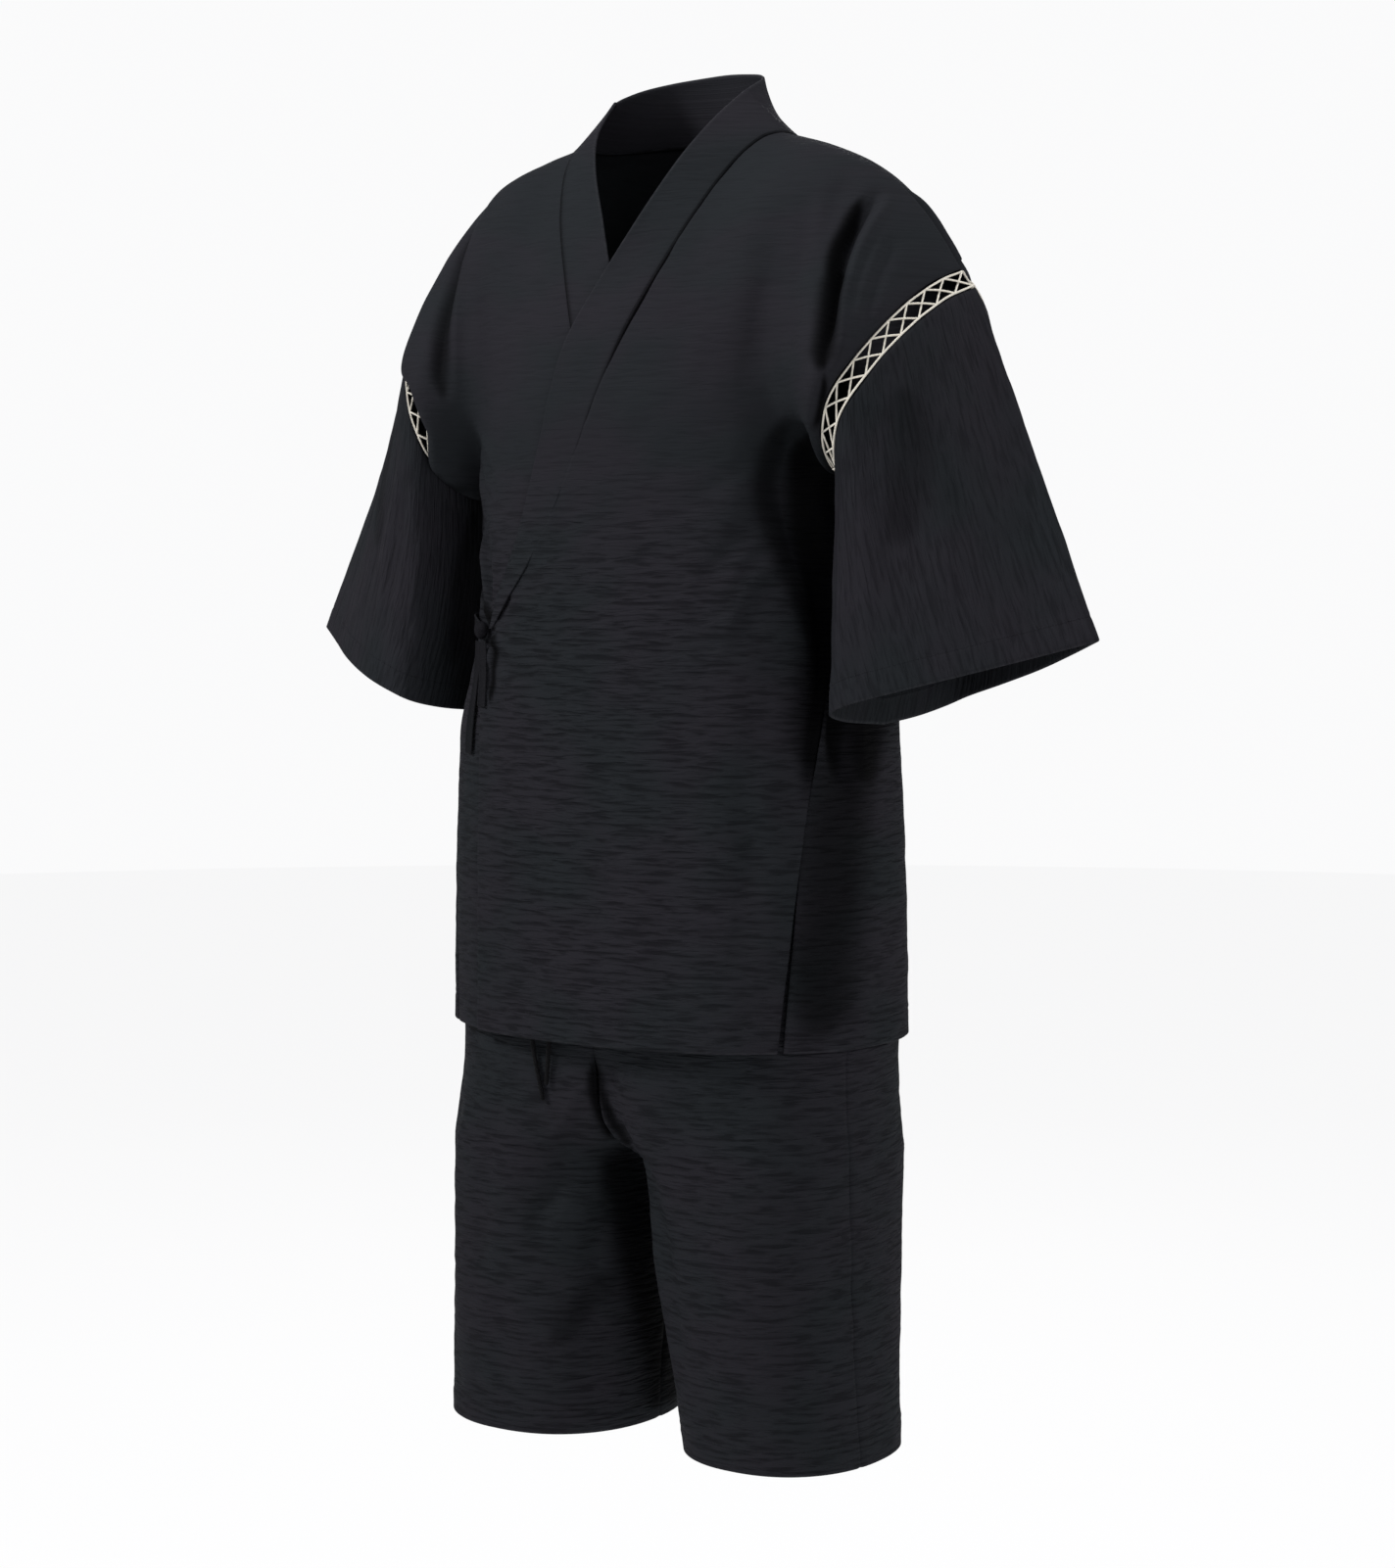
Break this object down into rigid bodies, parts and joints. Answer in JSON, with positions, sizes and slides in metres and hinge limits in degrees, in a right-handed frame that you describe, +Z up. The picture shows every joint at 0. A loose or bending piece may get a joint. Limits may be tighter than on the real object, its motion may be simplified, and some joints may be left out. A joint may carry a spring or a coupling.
{
  "type": "kimono shirt and shorts set (jinbei), worn form",
  "caption": "Black crepe jinbei in its worn hollow form: wrap shirt tied at the right side, cream lace insertions at the armholes, and knee-length shorts.",
  "frame": {"origin": "midway between the two points where the collar crosses the shoulder crests, where the shoulders carry the garment", "axes": "+Z up, -Y the way the front faces, +X towards the garment's own left side"},
  "size_m": [0.6948, 0.2549, 1.0291],
  "materials": {
    "black_cloth": "matt crinkled crepe",
    "cream_lace": "matt twisted cotton cord",
    "black_cord": "matt woven cord"
  },
  "bodies": {
    "root": {"shirt_front_left": "black_cloth", "shirt_front_right": "black_cloth", "shirt_back_left": "black_cloth", "shirt_back_right": "black_cloth", "collar": "black_cloth", "sleeve_left": "black_cloth", "sleeve_right": "black_cloth", "lace_left_front": "cream_lace", "lace_left_back": "cream_lace", "lace_right_front": "cream_lace", "lace_right_back": "cream_lace", "tie_knot": "black_cloth", "tie_strap_side": "black_cloth", "tie_tail_long": "black_cloth", "tie_tail_short": "black_cloth", "shorts_front_left": "black_cloth", "shorts_back_left": "black_cloth", "shorts_front_right": "black_cloth", "shorts_back_right": "black_cloth", "waistband": "black_cloth", "drawstring_left": "black_cord", "drawstring_right": "black_cord"}
  },
  "joints": []
}
